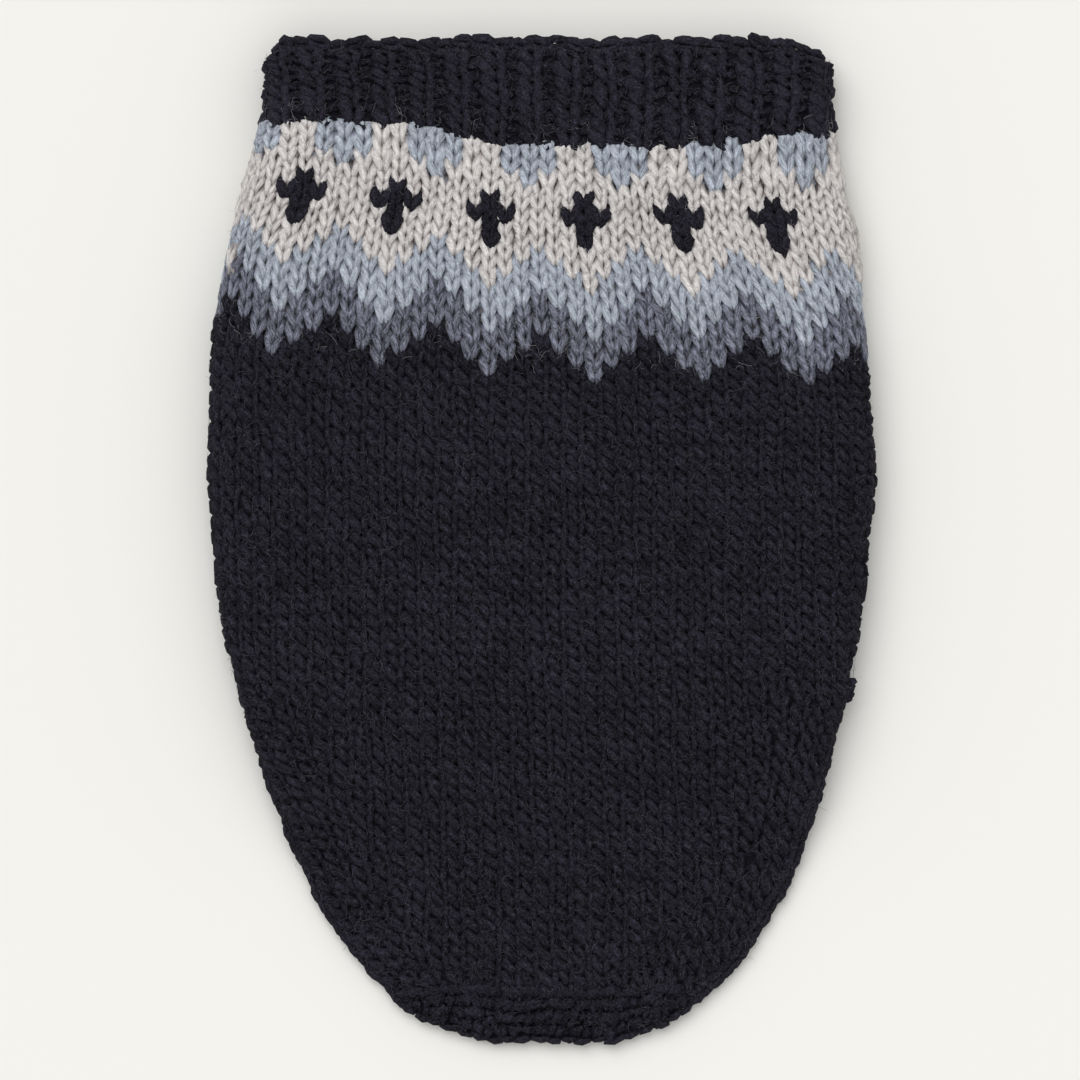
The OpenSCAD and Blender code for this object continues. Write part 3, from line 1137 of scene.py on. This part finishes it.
class JUMPER_OT_hairs(bpy.types.Operator):
    """Scatter the loose hairs that stand off the wool"""
    bl_idname = "jumper.hairs"
    bl_label = "Loose hairs"

    def execute(self, context):
        count = context.scene.jumper_knit.hairs
        loop = strand([(i / 2 - 1, 0, 0, 1 - 0.15 * i) for i in range(5)], 0.09, sides=4)
        yoke_end = float(row_y(YOKE_ROWS - 1))
        for name, stuff, low, high, share, body in (
                ("collar_hairs", "navy hairs", COLLAR_Y, RIM_Y - 4, 0.16, "jumper"),
                ("yoke_hairs", "pale hairs", yoke_end, COLLAR_Y + 2, 0.2, "jumper"),
                ("back_hairs", "navy hairs", FOLD_Y, yoke_end, 0.36, ACROSS_FOLD),
                ("tail_hairs", "navy hairs", TAIL_Y + 4, FOLD_Y, 0.28, ACROSS_FOLD)):
            number = int(count * share)
            y = low + (high - low) * RANDOM.random(number)
            at_edge = RANDOM.random(number) < 0.15
            way = np.where(at_edge, RANDOM.choice([-1.0, 1.0], number), 2 * RANDOM.random(number) - 1)
            s = stitches_to(way * (edge_way(y) - 1.8), y)
            turn = RANDOM.random(number) * 2 * math.pi
            length = RANDOM.gamma(2.2, 0.6, number).clip(0.3, 4.5)[:, None]
            bow, twist = RANDOM.normal(0, 0.45, (2, number, 1))
            height = RANDOM.uniform(0.05, 0.7, number)[:, None]

            def put(points):
                t = points[..., 0]
                x = length * t * (1 - 0.25 * np.abs(bow) * t * t)
                up = length * (bow * t * t + twist * t ** 3) + points[..., 1]
                across = (x * np.cos(turn)[:, None] - up * np.sin(turn)[:, None]) / pitch(y)[:, None]
                along = x * np.sin(turn)[:, None] + up * np.cos(turn)[:, None]
                depth = 0.45 + 1.3 * at_edge[:, None] - height * (1 - t * t) - points[..., 2]
                return body_point(s[:, None] + across, y[:, None] + along, depth, True)

            piece = grow(name, loop, put, np.zeros(number))
            finish_piece(piece, stuff, body)
        return {"FINISHED"}


class JUMPER_OT_studio(bpy.types.Operator):
    """Set the pale floor, the soft light and the camera overhead"""
    bl_idname = "jumper.studio"
    bl_label = "Studio"

    def execute(self, context):
        studio = context.scene.jumper_studio
        fresh()
        bpy.ops.mesh.primitive_plane_add(size=6, location=(0, 0, -0.0002))
        floor = context.object
        floor.name = "floor"
        mat = bpy.data.materials.new("floor paper")
        mat.use_nodes = True
        mat.node_tree.nodes["Principled BSDF"].inputs["Base Color"].default_value = rgba(studio.floor)
        mat.node_tree.nodes["Principled BSDF"].inputs["Roughness"].default_value = 0.9
        floor.data.materials.append(mat)
        world = bpy.data.worlds.new("studio")
        world.use_nodes = True
        world.node_tree.nodes["Background"].inputs["Color"].default_value = (1, 0.99, 0.97, 1)
        world.node_tree.nodes["Background"].inputs["Strength"].default_value = studio.sky
        context.scene.world = world
        for name, place, softness, power in (("key", (-0.5, 0.9, 1.6), 50, studio.key),
                                             ("fill", (0.8, -0.6, 1.6), 80, studio.key * 0.15)):
            bpy.ops.object.light_add(type="SUN", location=place)
            lamp = context.object
            lamp.name = name
            lamp.data.angle = math.radians(softness)
            lamp.data.energy = power
            lamp.rotation_euler = Vector(place).to_track_quat("Z", "Y").to_euler()
        view_mm, far_m, sensor_mm = 324.0, 3.0, 36.0
        bpy.ops.object.camera_add(location=(0, 0, far_m + 0.015))
        camera = context.object
        camera.data.lens = sensor_mm * far_m / (view_mm * MM)
        camera.data.sensor_width = sensor_mm
        camera.data.clip_end = 20
        context.scene.camera = camera
        context.scene.view_settings.view_transform = "Standard"
        return {"FINISHED"}


class JUMPER_PT_panel(bpy.types.Panel):
    """The jumper's sizes, wools and pieces"""
    bl_idname = "JUMPER_PT_panel"
    bl_label = "Knitted Dog Jumper"
    bl_space_type = "VIEW_3D"
    bl_region_type = "UI"
    bl_category = "Jumper"

    def draw(self, context):
        for group in (context.scene.jumper_knit, context.scene.jumper_wool, context.scene.jumper_studio):
            box = self.layout.box()
            for name in group.__annotations__:
                box.prop(group, name)
        for step in STEPS:
            self.layout.operator(f"jumper.{step}")


STEPS = ("studio", "wools", "yoke", "body", "tail", "collar", "belly_trim", "floats", "lining", "hairs")
CLASSES = (JumperKnit, JumperWool, JumperStudio, JUMPER_OT_studio, JUMPER_OT_wools, JUMPER_OT_yoke,
           JUMPER_OT_body, JUMPER_OT_tail, JUMPER_OT_collar, JUMPER_OT_belly_trim, JUMPER_OT_floats,
           JUMPER_OT_lining, JUMPER_OT_hairs, JUMPER_PT_panel)


def register():
    for cls in CLASSES:
        bpy.utils.register_class(cls)
    bpy.types.Scene.jumper_knit = bpy.props.PointerProperty(type=JumperKnit)
    bpy.types.Scene.jumper_wool = bpy.props.PointerProperty(type=JumperWool)
    bpy.types.Scene.jumper_studio = bpy.props.PointerProperty(type=JumperStudio)


def unregister():
    del bpy.types.Scene.jumper_knit, bpy.types.Scene.jumper_wool, bpy.types.Scene.jumper_studio
    for cls in reversed(CLASSES):
        bpy.utils.unregister_class(cls)


def main():
    register()
    for step in STEPS:
        getattr(bpy.ops.jumper, step)()


if __name__ == "__main__":
    main()
